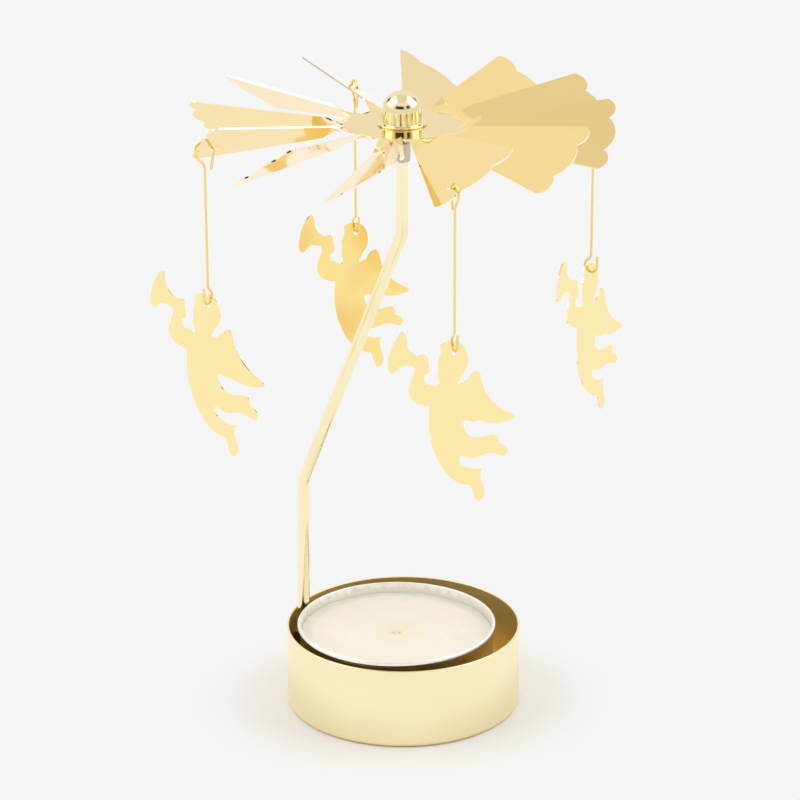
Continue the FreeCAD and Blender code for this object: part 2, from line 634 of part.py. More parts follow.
def angel(label, place, turn):
    """One angel, with the hole in its head at a place and its back pointing a way."""
    body = doc.addObject("PartDesign::Body", label)
    outline = sketch_on(body, "XZ_Plane", f"{label}_outline")
    height = size("angel_height")
    for run in ANGEL_OUTLINE_SHARES:
        points = [Vector(across * height, up * height, 0) for across, up in run]
        if len(points) == 2:
            outline.addGeometry(Part.LineSegment(points[0], points[1]))
        else:
            curve = Part.BSplineCurve()
            curve.interpolate(points)
            outline.addGeometry(curve)
    pad(body, outline, f"{label}_sheet", "Sizes.angel_thickness", both_ways=True)
    hole = circle_sketch(body, "XZ_Plane", f"{label}_hole", head_hole_radius)
    cut_through(body, hole, f"{label}_hole_cut", "Sizes.angel_thickness * 2")
    body.Placement = Placement(place, Rotation(UP, turn))
    return listed(body, label)


for quarter, side in enumerate(("right", "back", "left", "front")):
    vane_turn = size("wheel_angle") + FULL_TURN * quarter / size("hanger_count")
    angel_turn = size(f"angel_{side}_angle")
    around = Rotation(UP, vane_turn)
    hanger = doc.addObject("Part::Feature", f"hanger_{side}")
    hanger.Shape = hanger_shape(angel_turn + FULL_TURN / 4 - vane_turn)
    hanger.Placement = Placement(ORIGIN, around)
    listed(hanger, f"hanger_{side}")
    angel(f"angel_{side}", around.multVec(head_hole), angel_turn)

# The tealight leans on the rod and on the cup's wall, far enough off the rod's lean to lift out
bead_reach = value(bead_radius)
lifted_rim = value("Sizes.cup_wall + Sizes.tealight_seat_gap + Sizes.tealight_height + Sizes.tealight_lift")
lean_share = lifted_rim / size("stem_lower_bend")
rod_place = -stem_foot.x - size("stem_inset") * lean_share
from_rod = bead_reach + value("Sizes.stem_radius + Sizes.tealight_stem_gap")
from_axis = cup_inside - bead_reach - size("tealight_side_gap")
tealight_x = (from_rod**2 - from_axis**2 - rod_place**2) / (2 * rod_place)
tealight_y = -math.sqrt(from_axis**2 - tealight_x**2)
tealight_place = Vector(tealight_x, tealight_y, value("Sizes.cup_wall + Sizes.tealight_seat_gap"))

# The case: pressed foil with a slight taper and a folded bead under its rim
base_radius = "(Sizes.tealight_radius - Sizes.tealight_foot_inset)"
case_floor = f"({base_radius} - Sizes.tealight_base_round)"
bead_fold = "(Sizes.tealight_bead_width / 2)"
turned(
    "tealight_cup",
    [
        ("0", "0"),
        (case_floor, "0"),
        (base_radius, "Sizes.tealight_base_round"),
        ("Sizes.tealight_radius", "Sizes.tealight_height - 2 * Sizes.tealight_bead_width"),
        (bead_radius, f"Sizes.tealight_height - Sizes.tealight_bead_width - {bead_fold}"),
        (bead_radius, f"Sizes.tealight_height - {bead_fold}"),
        (f"Sizes.tealight_radius + {bead_fold}", "Sizes.tealight_height"),
        ("Sizes.tealight_radius - Sizes.tealight_wall", "Sizes.tealight_height"),
        (f"{base_radius} - Sizes.tealight_wall", "Sizes.tealight_base_round + Sizes.tealight_wall / 2"),
        (f"{case_floor} - Sizes.tealight_wall / 2", "Sizes.tealight_wall"),
        ("0", "Sizes.tealight_wall"),
    ],
    tealight_place,
)

# The wick's foot and the wick: a tin disc with a crimped collar, and a braided cord in it
foot_top = "(Sizes.tealight_wall + Sizes.sustainer_thickness)"
collar_top = "(Sizes.tealight_wall + Sizes.sustainer_collar_height)"
collar_radius = "(Sizes.wick_radius + Sizes.sustainer_collar_wall)"
turned(
    "wick_sustainer",
    [
        ("0", "Sizes.tealight_wall"),
        ("Sizes.sustainer_radius", "Sizes.tealight_wall"),
        ("Sizes.sustainer_radius", foot_top),
        (collar_radius, foot_top),
        (collar_radius, collar_top),
        ("Sizes.wick_radius", collar_top),
        ("Sizes.wick_radius", foot_top),
        ("0", foot_top),
    ],
    tealight_place,
)
wax_level = "(Sizes.tealight_height - Sizes.wax_depth)"
turned(
    "tealight_wick",
    [
        ("0", foot_top),
        ("Sizes.wick_radius", foot_top),
        ("Sizes.wick_radius", wax_level),
        ("Sizes.wick_radius / 2", f"{wax_level} + Sizes.wick_stub"),
        ("0", f"{wax_level} + Sizes.wick_stub"),
    ],
    tealight_place,
)

# The wax: cast into the case round the wick and its foot, drawn up at the wall
wax_edge = "(Sizes.tealight_radius - Sizes.tealight_wall - Sizes.cast_gap)"
wax_fall = "(Sizes.tealight_foot_inset * Sizes.wax_depth / Sizes.tealight_height)"
wax_foot = f"({case_floor} - Sizes.tealight_wall / 2 - Sizes.cast_gap)"
wax_shoulder = f"({base_radius} - Sizes.tealight_wall - Sizes.cast_gap)"
turned(
    "tealight_wax",
    [
        ("Sizes.sustainer_radius + Sizes.cast_gap", "Sizes.tealight_wall + Sizes.cast_gap"),
        (wax_foot, "Sizes.tealight_wall + Sizes.cast_gap"),
        (wax_shoulder, "Sizes.tealight_base_round + Sizes.tealight_wall / 2 + Sizes.cast_gap"),
        (f"{wax_edge} - {wax_fall}", f"{wax_level} + Sizes.wax_climb"),
        (f"{wax_edge} - Sizes.wax_climb_width", wax_level),
        ("Sizes.wax_dimple_radius", wax_level),
        ("Sizes.wick_radius + Sizes.cast_gap", f"{wax_level} - Sizes.wax_dimple_depth"),
        ("Sizes.wick_radius + Sizes.cast_gap", f"{collar_top} + Sizes.cast_gap"),
        (f"{collar_radius} + Sizes.cast_gap", f"{collar_top} + Sizes.cast_gap"),
        (f"{collar_radius} + Sizes.cast_gap", f"{foot_top} + Sizes.cast_gap"),
        ("Sizes.sustainer_radius + Sizes.cast_gap", f"{foot_top} + Sizes.cast_gap"),
    ],
    tealight_place,
)

doc.recompute()
for item in doc.Objects:
    if "Invalid" in item.State or "Error" in item.State:
        raise RuntimeError(f"{item.Label} did not build: {item.State}")
for sub_part in SUB_PARTS:
    if sub_part.Shape.isNull() or not sub_part.Shape.isValid():
        raise RuntimeError(f"{sub_part.Label} has no valid shape")

os.makedirs("parts", exist_ok=True)
for sub_part in SUB_PARTS:
    sub_part.Shape.exportStep(f"parts/{sub_part.Label}.step")
    print(f"{sub_part.Label}: {len(sub_part.Shape.Solids)} solid, {sub_part.Shape.Volume:.2f} mm3")
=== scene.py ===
import math

import bmesh
import bpy
from mathutils import Matrix, Vector


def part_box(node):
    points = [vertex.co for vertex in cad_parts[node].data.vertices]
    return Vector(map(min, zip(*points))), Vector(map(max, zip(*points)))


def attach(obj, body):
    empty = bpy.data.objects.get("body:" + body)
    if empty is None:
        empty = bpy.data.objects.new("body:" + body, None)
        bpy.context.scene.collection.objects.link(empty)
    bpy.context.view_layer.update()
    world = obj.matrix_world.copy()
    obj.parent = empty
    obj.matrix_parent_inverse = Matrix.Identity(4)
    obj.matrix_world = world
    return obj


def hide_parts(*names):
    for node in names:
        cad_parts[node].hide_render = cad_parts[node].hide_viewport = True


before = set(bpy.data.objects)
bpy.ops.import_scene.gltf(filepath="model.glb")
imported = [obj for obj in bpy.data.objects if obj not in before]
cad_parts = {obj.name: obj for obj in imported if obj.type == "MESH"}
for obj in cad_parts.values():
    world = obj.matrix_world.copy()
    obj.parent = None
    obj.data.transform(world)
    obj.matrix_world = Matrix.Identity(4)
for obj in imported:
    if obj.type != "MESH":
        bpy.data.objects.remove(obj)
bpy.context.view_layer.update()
scene = bpy.context.scene
scene.view_settings.view_transform = "Standard"


# The camera
# It looks from 20 degrees round the cup and 20 degrees up, from about 0.6 m away, as the photo does.
# The lens is a long one, and its middle points a little beside the cup's axis, halfway up.
MM = 0.001
PHOTO_WIDTH_PIXELS = 800
FOCAL_LENGTH_PIXELS = 3148
SENSOR_WIDTH = 36
CAMERA_TURN = math.radians(20)
CAMERA_RISE = math.radians(20.24)
CAMERA_ROLL = math.radians(-0.18)
CAMERA_REACH = 601.5 * MM
CAMERA_CLIP = 10 * MM
LOOK_BESIDE_AXIS = -0.51 * MM
LOOK_HEIGHT = 62.5 * MM

look_at = Vector(
    (
        LOOK_BESIDE_AXIS * math.cos(CAMERA_TURN),
        LOOK_BESIDE_AXIS * math.sin(CAMERA_TURN),
        LOOK_HEIGHT,
    )
)
outward = Vector(
    (
        math.sin(CAMERA_TURN) * math.cos(CAMERA_RISE),
        -math.cos(CAMERA_TURN) * math.cos(CAMERA_RISE),
        math.sin(CAMERA_RISE),
    )
)
camera = bpy.data.objects.new("camera", bpy.data.cameras.new("camera"))
camera.data.sensor_width = SENSOR_WIDTH
camera.data.lens = SENSOR_WIDTH * FOCAL_LENGTH_PIXELS / PHOTO_WIDTH_PIXELS
camera.data.clip_start = CAMERA_CLIP
aim = outward.to_track_quat("Z", "Y").to_matrix().to_4x4()
roll = Matrix.Rotation(CAMERA_ROLL, 4, "Z")
camera.matrix_world = Matrix.Translation(look_at + outward * CAMERA_REACH) @ aim @ roll
scene.collection.objects.link(camera)
scene.camera = camera


# The room
# A white room with a pale table top in it. The walls are plain and pale up to the table's horizon and
# a little above. Higher up, polished metal finds a dark band in front and darker corners behind.
def colour(hex_value):
    """An sRGB hex colour as a linear one."""
    channels = [int(hex_value[start : start + 2], 16) / 255 for start in (1, 3, 5)]
    linear = [c / 12.92 if c <= 0.04045 else ((c + 0.055) / 1.055) ** 2.4 for c in channels]
    return (*linear, 1.0)


def add_node(tree, kind, settings=None, inputs=None, stops=()):
    """A node with its settings and links.

    An input is a value, or the output socket that feeds it. A colour ramp's stops are pairs of a
    place and a hex colour, in order.
    """
    node = tree.nodes.new(kind)
    for name, setting in (settings or {}).items():
        setattr(node, name, setting)
    for name, given in (inputs or {}).items():
        if isinstance(given, bpy.types.NodeSocket):
            tree.links.new(given, node.inputs[name])
        else:
            node.inputs[name].default_value = given
    for number, (place, shade) in enumerate(stops):
        elements = node.color_ramp.elements
        element = elements[number] if number < 2 else elements.new(place)
        element.position = place
        element.color = colour(shade)
    return node


world = bpy.data.worlds.new("white_studio")
scene.world = world
world.use_nodes = True
tree = world.node_tree
tree.nodes.clear()
direction = add_node(tree, "ShaderNodeTexCoord").outputs["Generated"]
ways = add_node(tree, "ShaderNodeSeparateXYZ", inputs={"Vector": direction}).outputs
turn = add_node(tree, "ShaderNodeMath", {"operation": "ARCTAN2"}, {0: ways["Y"], 1: ways["X"]})
share_of_turn = add_node(
    tree,
    "ShaderNodeMapRange",
    inputs={"Value": turn.outputs[0], "From Min": -math.pi, "From Max": math.pi},
)
# the walls in order round the room from -X through -Y, +X and +Y, with the dark side about -Y
walls = add_node(
    tree,
    "ShaderNodeValToRGB",
    inputs={"Fac": share_of_turn.outputs["Result"]},
    stops=(
        (0.0, "#F6F6F6"),
        (0.17, "#FFFFFF"),
        (0.21, "#4C4843"),
        (0.33, "#3A3632"),
        (0.35, "#E8E6E2"),
        (0.38, "#E8E6E2"),
        (0.4, "#3A3632"),
        (0.43, "#5A564F"),
        (0.48, "#FFFFFF"),
        (0.63, "#FFFFFF"),
        (0.65, "#6E6A64"),
        (0.67, "#6E6A64"),
        (0.69, "#FCFCFC"),
        (0.92, "#FFFFFF"),
        (0.94, "#5E5A54"),
        (0.97, "#5E5A54"),
        (1.0, "#F6F6F6"),
    ),
).outputs["Color"]
# from the floor up: plain wall, walls with the dark band, white ceiling, and a greyer middle overhead
room = colour("#F5F5F5")
for fade_starts, fade_ends, next_shade in (
    (17, 22, walls),
    (34, 39, colour("#FCFCFC")),
    (55, 68, colour("#EDEDED")),
):
    fade = add_node(
        tree,
        "ShaderNodeMapRange",
        {"interpolation_type": "SMOOTHSTEP"},
        {
            "Value": ways["Z"],
            "From Min": math.sin(math.radians(fade_starts)),
            "From Max": math.sin(math.radians(fade_ends)),
        },
    )
    room = add_node(
        tree,
        "ShaderNodeMix",
        {"data_type": "RGBA"},
        {"Factor": fade.outputs["Result"], "A": room, "B": next_shade},
    ).outputs["Result"]
room_light = add_node(tree, "ShaderNodeBackground", inputs={"Color": room, "Strength": 1.0})
add_node(tree, "ShaderNodeOutputWorld", inputs={"Surface": room_light.outputs[0]})


# The table top
# Pale matt paper, which keeps the cup's soft shadow. Away from the cup it fades into a plain backdrop
# of one pale tone, and polished metal and glass see it as plain white.
TABLE_REACH = 3.0
SHADOW_KEPT = 22 * MM
BACKDROP_FROM = 45 * MM


def new_material(name):
    """An empty material and its tree."""
    material = bpy.data.materials.new(name)
    material.use_nodes = True
    material.node_tree.nodes.clear()
    return material, material.node_tree


material, tree = new_material("white_paper")
matt = add_node(tree, "ShaderNodeBsdfDiffuse", inputs={"Color": colour("#EDECEB")})
place = add_node(tree, "ShaderNodeTexCoord").outputs["Object"]
from_cup = add_node(tree, "ShaderNodeVectorMath", {"operation": "LENGTH"}, {0: place})
backdrop = add_node(
    tree,
    "ShaderNodeMapRange",
    {"interpolation_type": "SMOOTHSTEP"},
    {"Value": from_cup.outputs["Value"], "From Min": SHADOW_KEPT, "From Max": BACKDROP_FROM},
)
path = add_node(tree, "ShaderNodeLightPath").outputs
mirrored = add_node(
    tree,
    "ShaderNodeMath",
    {"operation": "MAXIMUM"},
    {0: path["Is Glossy Ray"], 1: path["Is Transmission Ray"]},
)
looked_at = add_node(
    tree,
    "ShaderNodeMath",
    {"operation": "MAXIMUM"},
    {0: path["Is Camera Ray"], 1: mirrored.outputs[0]},
)
tone = add_node(
    tree,
    "ShaderNodeMix",
    {"data_type": "RGBA"},
    {"Factor": mirrored.outputs[0], "A": colour("#F5F5F5"), "B": colour("#FFFFFF")},
)
glow = add_node(
    tree, "ShaderNodeEmission", inputs={"Color": tone.outputs["Result"], "Strength": 1.0}
)
glowing = add_node(
    tree,
    "ShaderNodeMath",
    {"operation": "MULTIPLY"},
    {0: backdrop.outputs["Result"], 1: looked_at.outputs[0]},
)
paper = add_node(
    tree,
    "ShaderNodeMixShader",
    inputs={"Fac": glowing.outputs[0], 1: matt.outputs[0], 2: glow.outputs[0]},
)
add_node(tree, "ShaderNodeOutputMaterial", inputs={"Surface": paper.outputs[0]})

form = bmesh.new()
bmesh.ops.create_grid(form, x_segments=1, y_segments=1, size=TABLE_REACH)
mesh = bpy.data.meshes.new("table_top")
form.to_mesh(mesh)
form.free()
mesh.materials.append(material)
table_top = bpy.data.objects.new("table_top", mesh)
scene.collection.objects.link(table_top)


# The lamps
# Two large square softboxes above the table, one on each side, turned down to the carousel's middle.
# They are weak, because the white room gives most of the light, and they make the cup's soft shadow.
LAMP_WIDTH = 0.9
LAMP_POWER = 3.0
LIT_MIDDLE = Vector((0, 0, 60 * MM))
for name, place in (
    ("lamp_left", Vector((-0.7, -0.3, 0.8))),
    ("lamp_right", Vector((0.72, 0.3, 0.8))),
):
    lamp = bpy.data.lights.new(name, "AREA")
    lamp.size = LAMP_WIDTH
    lamp.energy = LAMP_POWER
    softbox = bpy.data.objects.new(name, lamp)
    aim = (LIT_MIDDLE - place).to_track_quat("-Z", "Y").to_matrix().to_4x4()
    softbox.matrix_world = Matrix.Translation(place) @ aim
    scene.collection.objects.link(softbox)


# The cup, the stem and the braze
# The cup is drawn from steel sheet and gold plated, satin outside with faint upright drawing marks. Its
# deeper gold inside is painted: it stands in for the shade and gold reflections within the cup. The stem
# is a bent steel rod, polished under the same plate, and brazed to the cup's wall at its foot.
CUP_WALL = 0.4 * MM
CUP_BASE_ROUND = 0.9 * MM
CUP_RIM_BREAK = 0.13 * MM
CUP_INNER_ROUND = 0.5 * MM
CLOUD_SIZE = 14 * MM
CLOUD_WARMTH = "#E8A24A"
POLISH_SIZE = 2.5 * MM
POLISH_SPREAD = 0.08
MARK_STRENGTH = 0.35
# near white: the bare metal of a cut edge, with a painted highlight on it
CUT_EDGE_HIGHLIGHT = "#FFF6E0"
SPIN_STEPS = 192
ROUNDING_STEP = 0.12 * MM
FEWEST_ROUNDING_STEPS = 4
MERGED_WITHIN = 0.0005 * MM
SHARP_FROM = math.radians(35)


def metal_finish(name, shade, roughness, tarnish_and_reflection, warm=CLOUD_WARMTH, marks=None, edge=None, inside=None):
    """A plated or bare metal with faint warm clouds in its colour and slightly uneven gloss.

    marks gives the width and depth of its tool marks in millimetres, and their scale along each axis,
    where a small one draws them out. edge gives the way a sheet faces, and how little of it a face may
    share before it shows as a cut edge, painted near white: bare metal with a painted highlight on it.
    inside gives the radius within which a cup has another colour and roughness, and these two; the
    colour is painted shade and reflection, standing in for the light within the cup.
    """
    material, tree = new_material(name)
    place = add_node(tree, "ShaderNodeTexCoord").outputs
    clouds = add_node(
        tree,
        "ShaderNodeTexNoise",
        inputs={"Vector": place["Object"], "Scale": 1 / CLOUD_SIZE, "Detail": 2.0},
    )
    tint = add_node(
        tree,
        "ShaderNodeMapRange",
        inputs={"Value": clouds.outputs["Fac"], "From Min": 0.45, "From Max": 0.7, "To Max": tarnish_and_reflection},
    )
    base = add_node(
        tree,
        "ShaderNodeMix",
        {"data_type": "RGBA"},
        {"Factor": tint.outputs["Result"], "A": colour(shade), "B": colour(warm)},
    ).outputs["Result"]
    polish = add_node(
        tree,
        "ShaderNodeTexNoise",
        inputs={"Vector": place["Object"], "Scale": 1 / POLISH_SIZE, "Detail": 1.0},
    )
    gloss = add_node(
        tree,
        "ShaderNodeMapRange",
        inputs={
            "Value": polish.outputs["Fac"],
            "From Min": 0.3,
            "From Max": 0.7,
            "To Min": roughness * (1 - POLISH_SPREAD),
            "To Max": roughness * (1 + POLISH_SPREAD),
        },
    ).outputs["Result"]
    surface = {"Base Color": base, "Roughness": gloss, "Metallic": 1.0}
    if marks:
        width, depth, stretch = marks
        stretched = add_node(
            tree, "ShaderNodeMapping", inputs={"Vector": place["Object"], "Scale": stretch}
        )
        lines = add_node(
            tree,
            "ShaderNodeTexNoise",
            inputs={"Vector": stretched.outputs["Vector"], "Scale": 1 / (width * MM), "Detail": 2.0},
        )
        surface["Normal"] = add_node(
            tree,
            "ShaderNodeBump",
            inputs={
                "Height": lines.outputs["Fac"],
                "Strength": MARK_STRENGTH,
                "Distance": depth * MM,
            },
        ).outputs["Normal"]
    if edge:
        facing, least_facing = edge
        along = add_node(
            tree, "ShaderNodeVectorMath", {"operation": "DOT_PRODUCT"}, {0: place["Normal"], 1: facing}
        )
        flatness = add_node(
            tree, "ShaderNodeMath", {"operation": "ABSOLUTE"}, {0: along.outputs["Value"]}
        )
        cut_edge_highlight = add_node(
            tree,
            "ShaderNodeMath",
            {"operation": "LESS_THAN"},
            {0: flatness.outputs[0], 1: least_facing},
        )
        # painted highlight: cut edges are painted near white over their bare metal
        surface["Base Color"] = add_node(
            tree,
            "ShaderNodeMix",
            {"data_type": "RGBA"},
            {"Factor": cut_edge_highlight.outputs[0], "A": base, "B": colour(CUT_EDGE_HIGHLIGHT)},
        ).outputs["Result"]
    if inside:
        radius, inner_shade, inner_roughness = inside
        level = add_node(
            tree, "ShaderNodeMapping", inputs={"Vector": place["Object"], "Scale": (1, 1, 0)}
        )
        from_axis = add_node(
            tree, "ShaderNodeVectorMath", {"operation": "LENGTH"}, {0: level.outputs["Vector"]}
        )
        within = add_node(
            tree,
            "ShaderNodeMath",
            {"operation": "LESS_THAN"},
            {0: from_axis.outputs["Value"], 1: radius},
        ).outputs[0]
        surface["Base Color"] = add_node(
            tree,
            "ShaderNodeMix",
            {"data_type": "RGBA"},
            {"Factor": within, "A": base, "B": colour(inner_shade)},
        ).outputs["Result"]
        surface["Roughness"] = add_node(
            tree, "ShaderNodeMix", inputs={"Factor": within, "A": gloss, "B": inner_roughness}
        ).outputs["Result"]
    shader = add_node(tree, "ShaderNodeBsdfPrincipled", inputs=surface)
    add_node(tree, "ShaderNodeOutputMaterial", inputs={"Surface": shader.outputs[0]})
    return material


def dress(node, material):
    """Give a CAD node its finish."""
    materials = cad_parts[node].data.materials
    materials.clear()
    materials.append(material)


def spun_piece(node, body, material, outline, middle=(0, 0, 0), closed=False):
    """A smooth round piece in a CAD node's place, riding on the node's body.

    The outline's corners are (radius, height, rounding), from one end on the axis to the other, or all
    round a closed ring. They are rounded, spun about the axis and moved to the middle of the piece.
    """
    form = bmesh.new()
    corners = [form.verts.new((radius, 0, height)) for radius, height, rounding in outline]
    ends = corners[1:] + corners[:1] if closed else corners[1:]
    for start, end in zip(corners, ends):
        form.edges.new((start, end))
    for corner, (radius, height, rounding) in zip(corners, outline):
        if rounding:
            bmesh.ops.bevel(
                form,
                geom=[corner],
                offset=rounding,
                offset_type="OFFSET",
                affect="VERTICES",
                segments=max(FEWEST_ROUNDING_STEPS, math.ceil(rounding / ROUNDING_STEP)),
                profile=0.5,
                material=-1,
            )
    bmesh.ops.spin(
        form,
        geom=form.verts[:] + form.edges[:],
        cent=(0, 0, 0),
        axis=(0, 0, 1),
        angle=math.tau,
        steps=SPIN_STEPS,
        use_merge=True,
    )
    bmesh.ops.remove_doubles(form, verts=form.verts[:], dist=MERGED_WITHIN)
    bmesh.ops.recalc_face_normals(form, faces=form.faces[:])
    bmesh.ops.translate(form, vec=middle, verts=form.verts[:])
    mesh = bpy.data.meshes.new(f"{node}_spun")
    form.to_mesh(mesh)
    form.free()
    mesh.shade_smooth()
    mesh.set_sharp_from_angle(angle=SHARP_FROM)
    mesh.materials.append(material)
    piece = bpy.data.objects.new(f"{node}_spun", mesh)
    scene.collection.objects.link(piece)
    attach(piece, body)
    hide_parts(node)
    return piece


low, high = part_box("cup")
cup_radius = (high.x - low.x) / 2
cup_inner = cup_radius - CUP_WALL
# gold plate on drawn steel: satin, so the outside shows one soft pale tone with faint upright streaks,
# which are made broader than real drawing marks, because those are too fine to show
cup_gold = metal_finish(
    "gold_plate_drawn_satin",
    "#FBEFC5",
    roughness=0.3,
    tarnish_and_reflection=0.05,
    marks=(5.0, 0.08, (1, 1, 0.03)),
    # the deeper gold inside is painted shade and reflection, standing in for the light within the cup
    inside=(cup_radius - CUP_WALL / 2, "#FFE8A6", 0.42),
)
spun_piece(
    "cup",
    "stand",
    cup_gold,
    (
        (0, 0, 0),
        (cup_radius, 0, CUP_BASE_ROUND),
        (cup_radius, high.z, CUP_RIM_BREAK),
        (cup_inner, high.z, CUP_RIM_BREAK),
        (cup_inner, CUP_WALL, CUP_INNER_ROUND),
        (0, CUP_WALL, 0),
    ),
)
# gold plate on polished rod: pale, with long soft reflections
dress("stem", metal_finish("gold_plate_rod_polished", "#FAF0C8", roughness=0.13, tarnish_and_reflection=0.1))
# brazing alloy: a dull, lumpy, brownish fillet
dress(
    "stem_braze",
    metal_finish(
        "brazing_fillet_dull", "#B4944E", roughness=0.4, tarnish_and_reflection=0.6, marks=(0.5, 0.05, (1, 1, 1))
    ),
)


# The ferrule and the needle
# The ferrule is a nickel-plated collar, crimped on the rod's end. The needle is ground steel, pressed
# into the rod through the ferrule, and the wheel turns on its point.
STEM_RADIUS = 1.15 * MM
NEEDLE_RADIUS = 0.5 * MM
FERRULE_FOOT_ROUND = 0.4 * MM
FERRULE_TOP_ROUND = 0.3 * MM
low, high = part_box("stem_ferrule")
ferrule_radius = (high.x - low.x) / 2
stem_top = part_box("stem")[1].z
# nickel plate, polished: greyer than the gold, with fine upright polishing marks
ferrule_nickel = metal_finish(
    "nickel_plate_polished",
    "#CDBFA6",
    roughness=0.22,
    tarnish_and_reflection=0.3,
    warm="#A99672",
    marks=(0.5, 0.01, (1, 1, 0.1)),
)
spun_piece(
    "stem_ferrule",
    "stand",
    ferrule_nickel,
    (
        (STEM_RADIUS, low.z, 0),
        (ferrule_radius, low.z, FERRULE_FOOT_ROUND),
        (ferrule_radius, high.z, FERRULE_TOP_ROUND),
        (NEEDLE_RADIUS, high.z, 0),
        (NEEDLE_RADIUS, stem_top, 0),
        (STEM_RADIUS, stem_top, 0),
    ),
    closed=True,
)
# steel, ground: grey, with fine marks round the point
needle_steel = metal_finish(
    "steel_ground",
    "#B9B9B9",
    roughness=0.25,
    tarnish_and_reflection=0.2,
    warm="#9A9690",
    marks=(0.2, 0.005, (0.1, 0.1, 1)),
)
dress("pivot_needle", needle_steel)


# The vane wheel and its hub cap
# The wheel is one thin steel sheet, stamped, twisted and gold plated. The hub cap is pressed from like
# sheet as a dome with a folded brim, which lies on the wheel. Its lip is rolled out under the wheel.
SHEET = 0.3 * MM
HUB_RADIUS = 3.72 * MM
HUB_WALL = 0.35 * MM
BRIM_THICKNESS = 0.4 * MM
BRIM_ROUND = 0.19 * MM
BRIM_FILLET = 0.12 * MM
LIP_RADIUS = 4.2 * MM
LIP_THICKNESS = 0.3 * MM
LIP_TOP_ROUND = 0.1 * MM
LIP_FOOT_ROUND = 0.14 * MM
# the domes end just short of the axis, so that no two corners of the outline fall together
DOME_SHARE = 0.999
# gold plate, mirror bright: it picks up the other vanes' gold, and its cut edges are painted near white,
# bare metal with a painted highlight
wheel_gold = metal_finish(
    "gold_plate_sheet_mirror",
    "#F7DC98",
    roughness=0.06,
    tarnish_and_reflection=0.06,
    marks=(9.0, 0.1, (1, 1, 1)),
    edge=((0, 0, 1), 0.66),
)
dress("vane_wheel", wheel_gold)
low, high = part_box("hub_cap")
brim_radius = (high.x - low.x) / 2
wheel_under = low.z + LIP_THICKNESS
wheel_top = wheel_under + SHEET
brim_top = wheel_top + BRIM_THICKNESS
hub_inner = HUB_RADIUS - HUB_WALL
dome_inner_top = high.z - HUB_WALL
spun_piece(
    "hub_cap",
    "wheel",
    metal_finish("gold_plate_dome_mirror", "#F2E4B2", roughness=0.03, tarnish_and_reflection=0.05),
    (
        (0, high.z, 0),
        (HUB_RADIUS, high.z, DOME_SHARE * HUB_RADIUS),
        (HUB_RADIUS, brim_top, BRIM_FILLET),
        (brim_radius, brim_top, BRIM_ROUND),
        (brim_radius, wheel_top, BRIM_ROUND),
        (HUB_RADIUS, wheel_top, 0),
        (HUB_RADIUS, wheel_under, 0),
        (LIP_RADIUS, wheel_under, LIP_TOP_ROUND),
        (LIP_RADIUS, low.z, LIP_FOOT_ROUND),
        (hub_inner, low.z, LIP_TOP_ROUND),
        (hub_inner, dome_inner_top, DOME_SHARE * hub_inner),
        (0, dome_inner_top, 0),
    ),
)


# The hangers
# Gold-plated steel wire, drawn, cut and bent into an open ring at the top, which hooks through a vane,
# and an open hook at the foot, which holds an angel.
# gold plate on drawn wire: a fine line of deeper gold with soft highlights
wire_gold = metal_finish("gold_plate_wire_drawn", "#F4DC90", roughness=0.2, tarnish_and_reflection=0.12)
for side in ("right", "back", "left", "front"):
    dress(f"hanger_{side}", wire_gold)


# The angels
# Flat figures stamped from bright gold-plated sheet, each with a hole in its head for the hook. The
# back one faces the wheel's gold, and its deeper gold with stronger warm clouds is a painted reflection
# of it.
# the plate's colour, its warm clouds' colour, and how strong these are, which on the back one paint a
# reflection
PALE_PLATE = ("#FDEBAD", "#EFC66A", 0.1)
# a painted reflection: the back angel's deeper gold and stronger warm clouds stand in for the wheel's
# gold it faces
PAINTED_REFLECTION_PLATE = ("#FDE395", "#EBA63A", 0.45)
ANGEL_PLATES_AND_REFLECTION = {"right": PALE_PLATE, "back": PAINTED_REFLECTION_PLATE, "left": PALE_PLATE, "front": PALE_PLATE}
# a way to tell a sheet's two sides apart, which lies along none of the four sheets
FRONT_SIDE = Vector((1, 0.01, 0))
UPRIGHT_WITHIN = 0.01
for side, (shade, warm, tarnish_and_reflection) in ANGEL_PLATES_AND_REFLECTION.items():
    # the way the sheet faces: the mean of its upright faces, which are nearly all its two flat sides
    facing = Vector((0, 0, 0))
    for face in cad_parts[f"angel_{side}"].data.polygons:
        if abs(face.normal.z) < UPRIGHT_WITHIN:
            flip = 1 if face.normal.dot(FRONT_SIDE) > 0 else -1
            facing += flip * face.normal * face.area
    # gold plate, bright: almost one flat pale gold, with soft waves in its reflections; deeper on the
    # back one, as a painted reflection
    angel_gold = metal_finish(
        f"gold_plate_angel_{side}_bright",
        shade,
        roughness=0.14,
        tarnish_and_reflection=tarnish_and_reflection,
        warm=warm,
        marks=(7.0, 0.08, (1, 1, 1)),
        # the cut edges are painted near white: bare metal with a painted highlight
        edge=(tuple(facing.normalized()), 0.7),
    )
    dress(f"angel_{side}", angel_gold)


# The tealight's case
# Aluminium foil, pressed into a cup with a beaded rim and faint upright creases, with painted shade in
# their hollows. It stands loose in the carousel's cup. Its inner wall is greyish just above the wax, up
# to a wavy edge, and its outside under the rim has painted shade and a painted reflection of the gold.
FOIL = 0.25 * MM
BEAD = 0.35 * MM
BEAD_NECK = 3 * BEAD
BEAD_FOOT = 2.3 * BEAD
TAPER = 0.55 * MM
CASE_BASE_ROUND = 0.8 * MM
CASE_INNER_ROUND = 0.6 * MM
CASE_NECK_ROUND = 0.1 * MM
BEAD_FOOT_ROUND = 0.18 * MM
BEAD_TOP_ROUND = 0.28 * MM
BEAD_INNER_ROUND = 0.14 * MM
CREASE_WIDTH = 1.2 * MM
CREASE_DEPTH = 0.05 * MM
